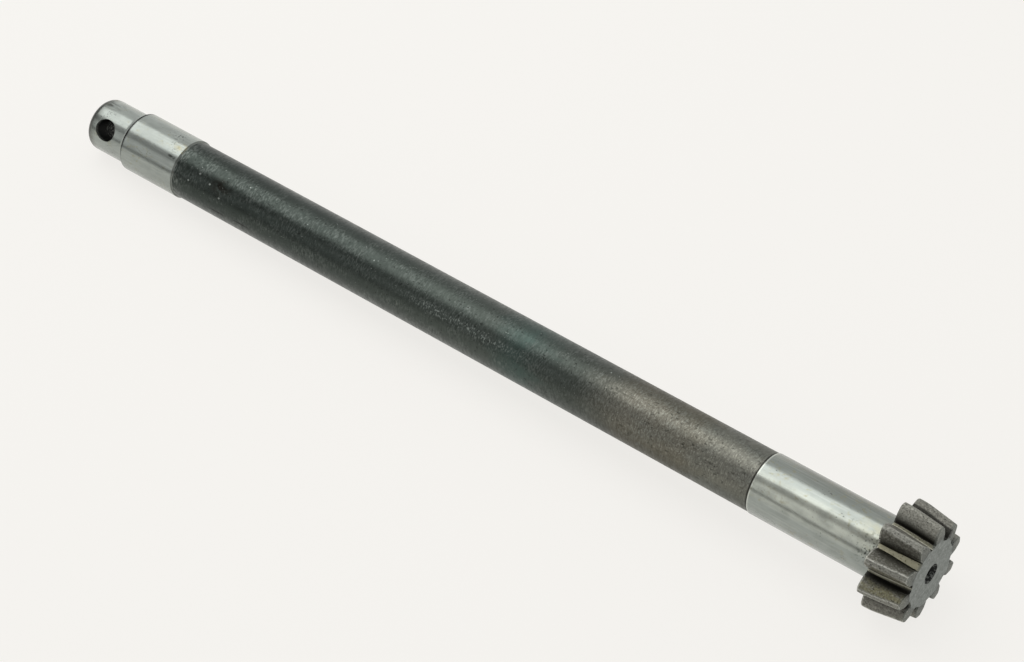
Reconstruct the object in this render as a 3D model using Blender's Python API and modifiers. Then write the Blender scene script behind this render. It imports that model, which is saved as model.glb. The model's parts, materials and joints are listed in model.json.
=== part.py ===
"""Splined shaft: a one-piece turned steel shaft with a crowned ten-tooth head.

The head stands at one end. Behind it come a ground front journal, a long black bar,
a ground rear journal and a cross-drilled spigot. The shaft is turned about its own Z
axis, head up, and is then laid down along +X. It rests on two teeth and on the rear
journal, as it would on a bench.
"""
import math

import bmesh
import bpy
from mathutils import Matrix, Vector

MM = 0.001

# Toothed head: its outline across the shaft grows with the module
TOOTH_COUNT = 10
MODULE = 5.0 * MM
PRESSURE_ANGLE = math.radians(20.0)
PROFILE_SHIFT = 0.1 * MODULE
TIP_HEIGHT = 1.12 * MODULE
TIP_RADIUS = TOOTH_COUNT * MODULE / 2.0 + TIP_HEIGHT
TOOTH_DEPTH = 1.78 * MODULE
ROOT_FILLET = 0.26 * MODULE
END_FACE_RADIUS = 4.06 * MODULE
FLANK_OVERRUN = 0.08 * MODULE

# Toothed head: its form along the shaft
HEAD_LENGTH = 24.1 * MM
CROWN_PEAK_FROM_REAR = 2.0 * MM
CROWN_RADIUS = 43.0 * MM
CROWN_TAPER = math.radians(8.6)
FRONT_TIP_CORNER_RADIUS = 0.8 * MM
REAR_TIP_CORNER_RADIUS = 0.9 * MM
TOOTH_END_RELIEF = 0.5 * MM
HEAD_NECK_FILLET = 2.4 * MM

# Shaft behind the head
FRONT_JOURNAL_RADIUS = 17.5 * MM
FRONT_JOURNAL_LENGTH = 76.8 * MM
BAR_RADIUS = 17.12 * MM
BAR_LENGTH = 402.6 * MM
REAR_JOURNAL_RADIUS = 17.92 * MM
REAR_JOURNAL_LENGTH = 40.7 * MM
SHOULDER_CHAMFER_LENGTH = 3.2 * MM
SPIGOT_RADIUS = 15.75 * MM
SPIGOT_LENGTH = 27.6 * MM
SPIGOT_END_RADIUS = 5.2 * MM
STEP_CHAMFER_LENGTH = 0.8 * MM

# Cross hole through the spigot, turned from the tooth space that faces down
CROSS_HOLE_RADIUS = 6.5 * MM
CROSS_HOLE_FROM_END = 14.8 * MM
CROSS_HOLE_TURN = math.radians(51.0)

# Lathe centre holes, one in each end
HEAD_CENTRE_RADIUS = 5.75 * MM
HEAD_PILOT_RADIUS = 2.2 * MM
HEAD_PILOT_LENGTH = 6.0 * MM
SPIGOT_CENTRE_RADIUS = 3.8 * MM
SPIGOT_PILOT_RADIUS = 1.8 * MM
SPIGOT_PILOT_LENGTH = 2.0 * MM
CENTRE_CONE_HALF_ANGLE = math.radians(30.0)
CENTRE_DRILL_HALF_ANGLE = math.radians(59.0)

# Facets
TURNED_STEPS = 60
CORNER_STEPS = 3
CORNER_SHARE = 0.45
CROWN_STEPS = 4
FLANK_STEPS = 6
ROOT_STEPS = 3
HOLE_STEPS = 32
CUTTER_MARGIN = 3.0 * MM
MERGE_DISTANCE = 0.00001

# Stations along the turning axis, from the head's end face down to the spigot's end
HEAD_REAR = -HEAD_LENGTH
JOURNAL_REAR = HEAD_REAR - FRONT_JOURNAL_LENGTH
BAR_REAR = JOURNAL_REAR - BAR_LENGTH
SHOULDER_RIM = BAR_REAR - REAR_JOURNAL_LENGTH
SPIGOT_START = SHOULDER_RIM - SHOULDER_CHAMFER_LENGTH
SHAFT_END = SPIGOT_START - SPIGOT_LENGTH
CROWN_PEAK = HEAD_REAR + CROWN_PEAK_FROM_REAR


def clear_scene():
    """Empty the open file of objects."""
    for thing in list(bpy.data.objects):
        bpy.data.objects.remove(thing, do_unlink=True)


def new_collection(name):
    """Add a collection to the scene."""
    collection = bpy.data.collections.new(name)
    bpy.context.scene.collection.children.link(collection)
    return collection


def steel(name, colour, roughness, metallic):
    """A plain steel material."""
    material = bpy.data.materials.new(name)
    material.use_nodes = True
    shader = material.node_tree.nodes["Principled BSDF"]
    shader.inputs["Base Color"].default_value = (*colour, 1.0)
    shader.inputs["Roughness"].default_value = roughness
    shader.inputs["Metallic"].default_value = metallic
    return material


def crown_drop(station):
    """How far the crown has fallen below its peak: an arc that runs out into a taper."""
    along = station - CROWN_PEAK
    arc_end = CROWN_RADIUS * math.sin(CROWN_TAPER)
    if along <= 0.0:
        return 0.0
    if along < arc_end:
        return CROWN_RADIUS - math.sqrt(CROWN_RADIUS ** 2 - along ** 2)
    return CROWN_RADIUS * (1.0 - math.cos(CROWN_TAPER)) + (along - arc_end) * math.tan(CROWN_TAPER)


def crown_stations():
    """Stations from the crown's peak to the end of its arc."""
    angles = [CROWN_TAPER * step / CROWN_STEPS for step in range(CROWN_STEPS + 1)]
    return [CROWN_PEAK + CROWN_RADIUS * math.sin(angle) for angle in angles]


def rounded(corners):
    """Turn (radius, station, corner radius) corners into outline points, with arcs at the corners."""
    points = []
    for index, (radius, station, corner_radius) in enumerate(corners):
        corner = Vector((radius, station))
        if corner_radius == 0.0 or index in (0, len(corners) - 1):
            points.append(corner)
            continue
        back = Vector(corners[index - 1][:2]) - corner
        ahead = Vector(corners[index + 1][:2]) - corner
        half_angle = back.angle(ahead) / 2.0
        room = CORNER_SHARE * min(back.length, ahead.length)
        reach = min(corner_radius / math.tan(half_angle), room)
        fitted_radius = reach * math.tan(half_angle)
        bisector = (back.normalized() + ahead.normalized()).normalized()
        centre = corner + bisector * fitted_radius / math.sin(half_angle)
        start = corner + back.normalized() * reach - centre
        finish = corner + ahead.normalized() * reach - centre
        for step in range(CORNER_STEPS + 1):
            points.append(centre + fitted_radius * start.slerp(finish, step / CORNER_STEPS))
    return points


def centre_hole(mouth_radius, pilot_radius, pilot_length, face, inward):
    """Corners of a centre hole, from the drill's point out to the mouth on an end face."""
    cone_depth = (mouth_radius - pilot_radius) / math.tan(CENTRE_CONE_HALF_ANGLE)
    pilot_depth = cone_depth + pilot_length
    point_depth = pilot_depth + pilot_radius / math.tan(CENTRE_DRILL_HALF_ANGLE)
    return [
        (0.0, face + inward * point_depth, 0.0),
        (pilot_radius, face + inward * pilot_depth, 0.0),
        (pilot_radius, face + inward * cone_depth, 0.0),
        (mouth_radius, face, 0.0),
    ]


def shaft_outline():
    """The turned outline, from the head's centre hole down the outer side to the spigot's."""
    front_edge = -TOOTH_END_RELIEF
    corners = centre_hole(HEAD_CENTRE_RADIUS, HEAD_PILOT_RADIUS, HEAD_PILOT_LENGTH, 0.0, -1.0)
    corners += [
        (END_FACE_RADIUS, 0.0, 0.0),
        (TIP_RADIUS - crown_drop(front_edge), front_edge, FRONT_TIP_CORNER_RADIUS),
    ]
    for station in reversed(crown_stations()):
        corners.append((TIP_RADIUS - crown_drop(station), station, 0.0))
    corners += [
        (TIP_RADIUS, HEAD_REAR, REAR_TIP_CORNER_RADIUS),
        (FRONT_JOURNAL_RADIUS, HEAD_REAR, HEAD_NECK_FILLET),
        (FRONT_JOURNAL_RADIUS, JOURNAL_REAR + STEP_CHAMFER_LENGTH, 0.0),
        (BAR_RADIUS, JOURNAL_REAR, 0.0),
        (BAR_RADIUS, BAR_REAR, 0.0),
        (REAR_JOURNAL_RADIUS, BAR_REAR - STEP_CHAMFER_LENGTH, 0.0),
        (REAR_JOURNAL_RADIUS, SHOULDER_RIM, 0.0),
        (SPIGOT_RADIUS, SPIGOT_START, 0.0),
        (SPIGOT_RADIUS, SHAFT_END, SPIGOT_END_RADIUS),
    ]
    corners += reversed(centre_hole(
        SPIGOT_CENTRE_RADIUS, SPIGOT_PILOT_RADIUS, SPIGOT_PILOT_LENGTH, SHAFT_END, 1.0))
    return rounded(corners)


def turned_blank(collection, material):
    """The shaft before its teeth are cut: the outline turned about Z."""
    points = shaft_outline()
    mesh = bpy.data.meshes.new("splined_shaft")
    edges = [(index, index + 1) for index in range(len(points) - 1)]
    mesh.from_pydata([(point.x, 0.0, point.y) for point in points], edges, [])
    mesh.materials.append(material)
    shaft = bpy.data.objects.new("splined_shaft", mesh)
    collection.objects.link(shaft)
    turn = shaft.modifiers.new("Turn", "SCREW")
    turn.axis = "Z"
    turn.angle = math.tau
    turn.steps = TURNED_STEPS
    turn.render_steps = TURNED_STEPS
    turn.use_merge_vertices = True
    turn.merge_threshold = MERGE_DISTANCE
    turn.use_smooth_shade = True
    return shaft


def involute(angle):
    """The involute function of a pressure angle."""
    return math.tan(angle) - angle


def space_half_angle(radius, shift):
    """Half the angle that a tooth space takes at a radius, with an involute flank above its base circle."""
    pitch_radius = MODULE * TOOTH_COUNT / 2.0
    base_radius = pitch_radius * math.cos(PRESSURE_ANGLE)
    tooth = (math.pi / 2.0 + 2.0 * shift / MODULE * math.tan(PRESSURE_ANGLE)) / TOOTH_COUNT
    tooth += involute(PRESSURE_ANGLE) - involute(math.acos(min(base_radius / radius, 1.0)))
    return math.pi / TOOTH_COUNT - max(tooth, 0.0)


def space_section(station):
    """One tooth space across the shaft at a station, as points round its open outline."""
    drop = crown_drop(station)
    shift = PROFILE_SHIFT - drop
    root_radius = TIP_RADIUS - TOOTH_DEPTH - drop
    base_radius = MODULE * TOOTH_COUNT / 2.0 * math.cos(PRESSURE_ANGLE)
    edge_angle = space_half_angle(base_radius, shift)
    centre_radius = root_radius + ROOT_FILLET
    centre_angle = edge_angle - math.asin(ROOT_FILLET / centre_radius)
    centre = Vector((centre_radius * math.cos(centre_angle), centre_radius * math.sin(centre_angle)))
    half = [Vector((root_radius, 0.0))]
    for step in range(ROOT_STEPS + 1):
        turn = math.pi + centre_angle - (math.pi / 2.0 - (edge_angle - centre_angle)) * step / ROOT_STEPS
        half.append(centre + ROOT_FILLET * Vector((math.cos(turn), math.sin(turn))))
    tip_radius = TIP_RADIUS - drop + FLANK_OVERRUN
    flank_start = max(base_radius, half[-1].length)
    for step in range(FLANK_STEPS + 1):
        radius = flank_start + (tip_radius - flank_start) * step / FLANK_STEPS
        angle = space_half_angle(radius, shift)
        half.append(Vector((radius * math.cos(angle), radius * math.sin(angle))))
    half.append(half[-1] * (TIP_RADIUS + CUTTER_MARGIN) / tip_radius)
    mirrored = [Vector((point.x, -point.y)) for point in reversed(half[1:])]
    return mirrored + half


def space_cutter_mesh():
    """A closed cutter for one tooth space, lofted through its sections along the crown."""
    stations = [HEAD_REAR - CUTTER_MARGIN] + crown_stations() + [CUTTER_MARGIN]
    shape = bmesh.new()
    rings = []
    for station in stations:
        section = space_section(station)
        rings.append([shape.verts.new((point.x, point.y, station)) for point in section])
    for lower, upper in zip(rings, rings[1:]):
        for index in range(len(lower)):
            after = (index + 1) % len(lower)
            shape.faces.new((lower[index], lower[after], upper[after], upper[index]))
    shape.faces.new(reversed(rings[0]))
    shape.faces.new(rings[-1])
    bmesh.ops.recalc_face_normals(shape, faces=shape.faces)
    mesh = bpy.data.meshes.new("tooth_space")
    shape.to_mesh(mesh)
    shape.free()
    return mesh


def hide_cutter(cutter):
    """Keep a cutter out of renders and show it as wire."""
    cutter.hide_render = True
    cutter.display_type = "WIRE"


def cut_tooth_spaces(shaft, collection, placement):
    """Subtract one cutter for each space between two teeth."""
    mesh = space_cutter_mesh()
    for index in range(TOOTH_COUNT):
        cutter = bpy.data.objects.new(f"tooth_space_{index + 1}", mesh)
        cutter.matrix_world = placement @ Matrix.Rotation(math.tau * index / TOOTH_COUNT, 4, "Z")
        collection.objects.link(cutter)
        hide_cutter(cutter)
    cut = shaft.modifiers.new("Tooth spaces", "BOOLEAN")
    cut.operation = "DIFFERENCE"
    cut.operand_type = "COLLECTION"
    cut.collection = collection
    cut.solver = "EXACT"


def cut_cross_hole(shaft, collection, placement):
    """Drill the spigot through, at a right angle to the shaft."""
    bpy.ops.mesh.primitive_cylinder_add(
        vertices=HOLE_STEPS, radius=CROSS_HOLE_RADIUS, depth=2.0 * (SPIGOT_RADIUS + CUTTER_MARGIN))
    drill = bpy.context.active_object
    drill.name = "cross_hole_drill"
    for owner in list(drill.users_collection):
        owner.objects.unlink(drill)
    collection.objects.link(drill)
    across = Matrix.Rotation(CROSS_HOLE_TURN, 4, "Z") @ Matrix.Rotation(math.pi / 2.0, 4, "Y")
    station = Matrix.Translation((0.0, 0.0, SHAFT_END + CROSS_HOLE_FROM_END))
    drill.matrix_world = placement @ station @ across
    hide_cutter(drill)
    cut = shaft.modifiers.new("Cross hole", "BOOLEAN")
    cut.operation = "DIFFERENCE"
    cut.object = drill
    cut.solver = "EXACT"


def evaluated_points(thing):
    """The points of an object's finished mesh, in its own frame."""
    bpy.context.view_layer.update()
    seen = thing.evaluated_get(bpy.context.evaluated_depsgraph_get())
    mesh = seen.to_mesh()
    points = [vertex.co.copy() for vertex in mesh.vertices]
    seen.to_mesh_clear()
    return points


def resting_placement(points):
    """Lay the shaft along +X on the two lowest teeth and the rear journal.

    Local +X is the underside. The resting line is the edge of the lower hull that
    passes under the middle of the length, and the box's bottom centre is the origin.
    """
    lay_down = Matrix.Rotation(math.pi / 2.0, 4, "Y")
    below = sorted(((lay_down @ point).x, (lay_down @ point).z) for point in points)
    hull = []
    for x, z in below:
        while len(hull) > 1:
            (x0, z0), (x1, z1) = hull[-2], hull[-1]
            if (x1 - x0) * (z - z0) - (z1 - z0) * (x - x0) > 0.0:
                break
            hull.pop()
        hull.append((x, z))
    middle = (SHAFT_END + HEAD_REAR) / 2.0
    for (x0, z0), (x1, z1) in zip(hull, hull[1:]):
        if x0 <= middle < x1:
            tilt = math.atan2(z1 - z0, x1 - x0)
    turned = Matrix.Rotation(tilt, 4, "Y") @ lay_down
    placed = [turned @ point for point in points]
    lows = [min(point[axis] for point in placed) for axis in range(3)]
    highs = [max(point[axis] for point in placed) for axis in range(3)]
    origin = Vector(((lows[0] + highs[0]) / 2.0, (lows[1] + highs[1]) / 2.0, lows[2]))
    return Matrix.Translation(-origin) @ turned


def main():
    """Build the shaft and lay it down."""
    clear_scene()
    parts = new_collection("Splined shaft")
    cutters = new_collection("Cutters")
    spaces = bpy.data.collections.new("Tooth spaces")
    cutters.children.link(spaces)
    oxidised = steel("oxidised_steel", (0.13, 0.135, 0.13), 0.38, 0.9)
    shaft = turned_blank(parts, oxidised)
    cut_tooth_spaces(shaft, spaces, Matrix.Identity(4))
    cut_cross_hole(shaft, cutters, Matrix.Identity(4))
    placement = resting_placement(evaluated_points(shaft))
    for thing in [shaft, *cutters.all_objects]:
        thing.matrix_world = placement @ thing.matrix_world


main()
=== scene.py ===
"""Dresses the splined shaft: its surface, its steels, and a plain studio to see it in."""
import json
import math

import bmesh
import bpy
from bpy.props import FloatProperty, FloatVectorProperty, IntProperty, PointerProperty
from mathutils import Matrix, Vector


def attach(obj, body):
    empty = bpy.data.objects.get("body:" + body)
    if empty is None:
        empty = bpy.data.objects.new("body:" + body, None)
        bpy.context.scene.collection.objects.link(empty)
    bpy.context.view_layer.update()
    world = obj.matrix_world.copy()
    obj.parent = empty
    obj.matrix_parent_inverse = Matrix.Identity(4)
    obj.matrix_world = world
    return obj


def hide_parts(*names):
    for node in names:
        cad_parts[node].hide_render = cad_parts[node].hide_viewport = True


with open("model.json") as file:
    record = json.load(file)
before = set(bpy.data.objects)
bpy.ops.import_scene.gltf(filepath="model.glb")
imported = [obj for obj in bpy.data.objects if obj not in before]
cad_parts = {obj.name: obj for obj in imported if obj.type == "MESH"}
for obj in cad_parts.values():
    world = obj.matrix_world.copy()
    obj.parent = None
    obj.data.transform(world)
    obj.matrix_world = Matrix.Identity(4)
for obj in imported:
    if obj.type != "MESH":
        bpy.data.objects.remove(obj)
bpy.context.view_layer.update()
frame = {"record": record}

bl_info = {
    "name": "Splined shaft",
    "version": (1, 0, 0),
    "blender": (4, 5, 0),
    "location": "3D View > Sidebar > Splined shaft",
    "description": "Models a drive shaft with a crowned toothed head and its steel finishes",
    "category": "Object",
}

MM = 0.001
NODE = "splined_shaft"
BODY = "root"


def linear(value):
    """A colour written as an sRGB hex value, turned to the linear numbers that sockets take."""
    shares = [int(value[index:index + 2], 16) / 255.0 for index in (1, 3, 5)]
    return tuple(
        share / 12.92 if share <= 0.04045 else ((share + 0.055) / 1.055) ** 2.4 for share in shares)


class ShaftSizes(bpy.types.PropertyGroup):
    """Sizes of the shaft, as in its CAD model, and the wear on the edges of its teeth."""

    tooth_count: IntProperty(name="Teeth", description="Teeth round the head", default=10, min=6)
    module: FloatProperty(
        name="Module", description="Pitch diameter for each tooth", default=5.0 * MM, unit="LENGTH")
    head_length: FloatProperty(
        name="Head length", description="Length of the toothed head", default=24.1 * MM, unit="LENGTH")
    crown_radius: FloatProperty(
        name="Crown radius", description="Radius of the crown along a tooth",
        default=43.0 * MM, unit="LENGTH")
    tooth_edge: FloatProperty(
        name="Worn tooth edge", description="Width of the rounding along a tooth's tip",
        default=0.55 * MM, unit="LENGTH")
    front_journal_radius: FloatProperty(
        name="Front journal radius", description="Radius of the seat behind the head",
        default=17.5 * MM, unit="LENGTH")
    front_journal_length: FloatProperty(
        name="Front journal length", description="Length of the seat behind the head",
        default=76.8 * MM, unit="LENGTH")
    bar_radius: FloatProperty(
        name="Bar radius", description="Radius of the black bar", default=17.12 * MM, unit="LENGTH")
    bar_length: FloatProperty(
        name="Bar length", description="Length of the black bar", default=402.6 * MM, unit="LENGTH")
    rear_journal_radius: FloatProperty(
        name="Rear journal radius", description="Radius of the seat before the spigot",
        default=17.92 * MM, unit="LENGTH")
    rear_journal_length: FloatProperty(
        name="Rear journal length", description="Length of the seat before the spigot",
        default=40.7 * MM, unit="LENGTH")
    spigot_radius: FloatProperty(
        name="Spigot radius", description="Radius of the cross-drilled end",
        default=15.75 * MM, unit="LENGTH")
    spigot_length: FloatProperty(
        name="Spigot length", description="Length of the cross-drilled end",
        default=27.6 * MM, unit="LENGTH")
    cross_hole_radius: FloatProperty(
        name="Cross hole radius", description="Radius of the hole through the spigot",
        default=6.5 * MM, unit="LENGTH")


class ShaftFinish(bpy.types.PropertyGroup):
    """Colours of the shaft's steels."""

    ground: FloatVectorProperty(
        name="Ground steel", description="The bright ground seats and spigot", subtype="COLOR",
        default=linear("#9ba19b"), min=0.0, max=1.0)
    scale: FloatVectorProperty(
        name="Black scale", description="Tint over the black skin of the bar; white leaves it as it is",
        subtype="COLOR", default=(1.0, 1.0, 1.0), min=0.0, max=1.0)
    oxide: FloatVectorProperty(
        name="Tooth oxide", description="The worn grey skin of the teeth", subtype="COLOR",
        default=linear("#8c8c83"), min=0.0, max=1.0)
    faced: FloatVectorProperty(
        name="Faced end", description="The flat end face of the head", subtype="COLOR",
        default=linear("#7f8480"), min=0.0, max=1.0)
    bore: FloatVectorProperty(
        name="Bores", description="The oily walls of the cross hole and the centre holes", subtype="COLOR",
        default=linear("#1c1e1c"), min=0.0, max=1.0)


class ShaftStudio(bpy.types.PropertyGroup):
    """The floor, the light and the camera's stand."""

    paper: FloatVectorProperty(
        name="Paper", description="Colour of the floor", subtype="COLOR",
        default=linear("#f6f4f0"), min=0.0, max=1.0)
    lamp_power: FloatProperty(
        name="Lamp power", description="Power of the overhead soft lamp",
        default=14.9, min=0.0, unit="POWER")
    surround: FloatProperty(
        name="Surround", description="Brightness of the room all round", default=0.93, min=0.0)
    focal_length: FloatProperty(
        name="Focal length", description="Focal length in millimetres on a 36 mm sensor", default=101.3)
    aim: FloatVectorProperty(
        name="Aim", description="Point that the camera looks at", subtype="XYZ", unit="LENGTH",
        default=(11.46 * MM, 10.88 * MM, 20.07 * MM))
    distance: FloatProperty(
        name="Distance", description="Distance from the aim to the camera", default=1.5694, unit="LENGTH")
    azimuth: FloatProperty(
        name="Azimuth", description="Turn of the camera round the shaft, from looking along Y",
        default=math.radians(40.05), unit="ROTATION")
    elevation: FloatProperty(
        name="Elevation", description="Angle of the camera above the floor",
        default=math.radians(46.61), unit="ROTATION")
    roll: FloatProperty(
        name="Roll", description="Turn of the camera about its own line of sight",
        default=math.radians(-2.04), unit="ROTATION")


# Tooth form, its lengths in modules: broad at the root, as the ends of the teeth show
PRESSURE_ANGLE = math.radians(30.0)
PROFILE_SHIFT = 0.34
TIP_HEIGHT = 1.12
TOOTH_DEPTH = 1.78
ROOT_FILLET = 0.18
END_FACE_RADIUS = 4.06

# The other sizes of the shaft, in metres
CROWN_PEAK_FROM_REAR = 2.0 * MM
CROWN_TAPER = math.radians(8.6)
REAR_CORNER_RADIUS = 0.9 * MM
FRONT_CORNER_RADIUS = 0.8 * MM
TOOTH_END_RELIEF = 0.5 * MM
HEAD_NECK_FILLET = 2.4 * MM
SHOULDER_CHAMFER_LENGTH = 3.2 * MM
STEP_CHAMFER_LENGTH = 0.8 * MM
SPIGOT_END_RADIUS = 5.2 * MM
CROSS_HOLE_FROM_END = 14.8 * MM
CROSS_HOLE_TURN = math.radians(51.0)
CROSS_HOLE_WEAR = 1.1
HEAD_CENTRE_RADIUS = 5.75 * MM
HEAD_PILOT_RADIUS = 2.2 * MM
HEAD_PILOT_LENGTH = 6.0 * MM
SPIGOT_CENTRE_RADIUS = 3.8 * MM
SPIGOT_PILOT_RADIUS = 1.8 * MM
SPIGOT_PILOT_LENGTH = 2.0 * MM
CENTRE_CONE_HALF_ANGLE = math.radians(30.0)
CENTRE_DRILL_HALF_ANGLE = math.radians(59.0)
MOUNT_HEIGHT = 13.0 * MM

# A worn tooth edge takes at most this share of the flank, and the drill is this many spigot radii long
EDGE_SHARE = 0.4
DRILL_REACH = 3.0

# How near a face's middle may come to a border and still take the finish beyond it
BORE_BORDER = 0.05 * MM
FACE_BORDER = 0.1 * MM
REAR_BORDER = 0.3 * MM

# Steps along half a tooth pitch, and round the other shapes
ROOT_STEPS = 3
FILLET_STEPS = 4
FLANK_STEPS = 8
EDGE_STEPS = 3
TIP_STEPS = 2
CROWN_STEPS = 10
CORNER_STEPS = 6
CENTRE_STEPS = 64
HOLE_STEPS = 96

MERGE_DISTANCE = 0.001 * MM
SMOOTH_ANGLE = math.radians(32.0)

# An edge that turns this much from face to face is fully worn
EDGE_TURN = math.radians(12.0)

# Marks on the shaft: station in millimetres from the head's end face, turn in degrees, and radius in
# millimetres
REAR_STAIN = (-506.8, 189.0, 17.92)
REAR_MARK = (-509.4, 212.5, 17.92)
SPIGOT_SMEAR = (-567.0, 168.0, 15.75)
# The dark line round the upper side of the spigot's shoulder is painted shade
SHOULDER_SHADE = (-544.2, 185.0, 17.92)
FLECK_ROW = (-292.0, 228.0, 17.12)
# The darker upper side of the front journal is painted shade
FRONT_TOP_SHADE = (-62.0, 140.0, 17.5)
# The lighter band along the middle of the front journal is a painted highlight
FRONT_HIGHLIGHT = (-62.0, 223.0, 17.5)
FRONT_STAIN = (-29.0, 200.0, 17.5)
EDGE_RUB = (-12.0, 256.0, 28.0)
DULL_EDGE = (-12.0, 237.5, 29.3)
# A lighter patch on the flank of the second tooth: painted light
LIT_FLANK_PATCH = (-12.0, 172.0, 27.0)
FLANK_GREASE = (-12.0, 258.0, 26.0)
# A lighter patch on the root lands facing the camera: painted light
LIT_ROOT_PATCH = (-12.0, 216.0, 21.0)
# Worn grey scale near the head, lighter on the side facing the camera: partly wear, partly painted
# highlight
BAR_RUB_AND_HIGHLIGHT = (-150.0, 215.0, 17.12)
BROWN_PATCH = (-469.4, 220.0, 17.12)
BAR_CHIPS = (
    (-486.0, 215.0, 17.12), (-477.0, 224.0, 17.12), (-492.0, 237.0, 17.12), (-468.0, 240.0, 17.12),
)
TOOTH_CHIPS = ((-7.1, 200.6, 29.2), (-9.4, 200.2, 29.4), (-15.0, 197.5, 30.2), (-20.0, 236.0, 30.4))
BAR_SCRATCHES = ((-468.5, 272.5, 17.12), (-450.5, 270.0, 17.12))

# Marks that run along the teeth: turn round the shaft and reach to either side, in degrees
FAR_FLANK = (138.0, 12.0)
# Darker flanks on the teeth facing the camera: partly deposits, partly painted shade
FLANK_SOOT_AND_SHADE = (216.0, 29.0)
# Dark lines along the teeth: partly deposits, partly painted shadow cast by the next tooth
DIRT_AND_SHADOW_LINES = ((183.4, 2.0), (248.0, 4.5), (260.0, 6.0))
PALE_LINES = ((180.8, 1.0), (252.6, 1.4))

# Specks in clusters: their place, then the reach round and along the shaft in millimetres
SPECKS = (
    ((-29.0, 232.0, 17.5), 12.0, 8.0), ((-511.5, 193.0, 17.92), 4.5, 4.0),
    ((-514.5, 168.0, 17.92), 5.0, 6.0), ((-508.4, 213.0, 17.92), 1.6, 3.6),
    ((-563.0, 196.0, 15.75), 5.0, 5.0),
)

# The end face, in millimetres: its dark rim from and to, and the pitch of its facing marks, which are
# some 0.15 mm apart and are drawn coarser so that they show
FACE_RIM = (19.3, 19.7)
FACING_PITCH = 0.8

# Belts round the shaft: middle station and reach to either side, in millimetres. They paint light and
# shade: a shade line at each step, a highlight on the front step's chamfer, and shade on the spigot's
# rounded end
REAR_STEP_SHADE = (-504.0, 0.6)
FRONT_STEP_GLEAM = (-99.8, 0.5)
FRONT_STEP_SHADE = (-100.7, 0.7)
SPIGOT_END_SHADE = (-573.6, 3.4)

# The bar's scale along the shaft: station in millimetres, colour, roughness
BAR_TONES = (
    (-503.5, "#3b413d", 0.28), (-450.0, "#3c423e", 0.28), (-380.0, "#414743", 0.30),
    (-310.0, "#484e49", 0.32), (-275.0, "#4a504b", 0.34), (-256.0, "#485651", 0.35),
    (-232.0, "#4a504b", 0.36), (-203.0, "#4d504a", 0.38), (-182.0, "#5a564a", 0.40),
    (-146.0, "#5b584b", 0.41), (-132.0, "#64655c", 0.39), (-100.9, "#64655d", 0.37),
)

# How far the borders of the tones wander, in millimetres
TONE_WANDER = 14.0

# The studio: sizes in metres, the lamp off to the side that the steel mirrors
FLOOR_SIZE = 12.0
PLAIN_PAPER = 0.87
LAMP_PLACE = (-0.9, 0.21, 1.4)
LAMP_SIZE = (2.0, 1.33)
SENSOR_WIDTH = 36.0

# Light of the screens from the horizon on the camera's side over the top, by degrees
SCREENS = (
    (0.0, 1.0), (0.5, 0.6), (1.5, 0.0), (10.5, 0.0), (13.0, 0.8), (44.0, 0.8), (48.0, 0.1),
    (54.0, 0.1), (70.0, 0.35), (73.0, 0.65), (122.0, 0.75), (168.0, 0.85), (180.0, 1.0),
)


def shaft_placement():
    """Where the shaft lies: its own Z runs out of the head's end face, and its own X points down."""
    mount = next(each for each in frame["record"]["mounts"] if each["name"] == "head_end_face")
    along = Vector(mount["axis"]).normalized()
    across = Vector((0.0, 1.0, 0.0))
    down = across.cross(along)
    centre = Vector(mount["pos_m"]) + MOUNT_HEIGHT * down
    turned = Matrix((down, across, along)).transposed().to_4x4()
    return Matrix.Translation(centre) @ turned


def involute(angle):
    """The involute function of a pressure angle."""
    return math.tan(angle) - angle


def space_half_angle(sizes, radius, shift):
    """Half the angle that a tooth space takes at a radius."""
    base_radius = sizes.module * sizes.tooth_count / 2.0 * math.cos(PRESSURE_ANGLE)
    tooth = (math.pi / 2.0 + 2.0 * shift / sizes.module * math.tan(PRESSURE_ANGLE)) / sizes.tooth_count
    tooth += involute(PRESSURE_ANGLE) - involute(math.acos(min(base_radius / radius, 1.0)))
    return math.pi / sizes.tooth_count - tooth


def crown_drop(sizes, station):
    """How far the crown has fallen below its peak: an arc that runs out into a taper."""
    along = station + sizes.head_length - CROWN_PEAK_FROM_REAR
    arc_end = sizes.crown_radius * math.sin(CROWN_TAPER)
    if along <= 0.0:
        return 0.0
    if along < arc_end:
        return sizes.crown_radius - math.sqrt(sizes.crown_radius ** 2 - along ** 2)
    return sizes.crown_radius * (1.0 - math.cos(CROWN_TAPER)) + (along - arc_end) * math.tan(CROWN_TAPER)


def on_circle(radius, angle):
    """A point across the shaft."""
    return Vector((radius * math.cos(angle), radius * math.sin(angle)))


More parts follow.
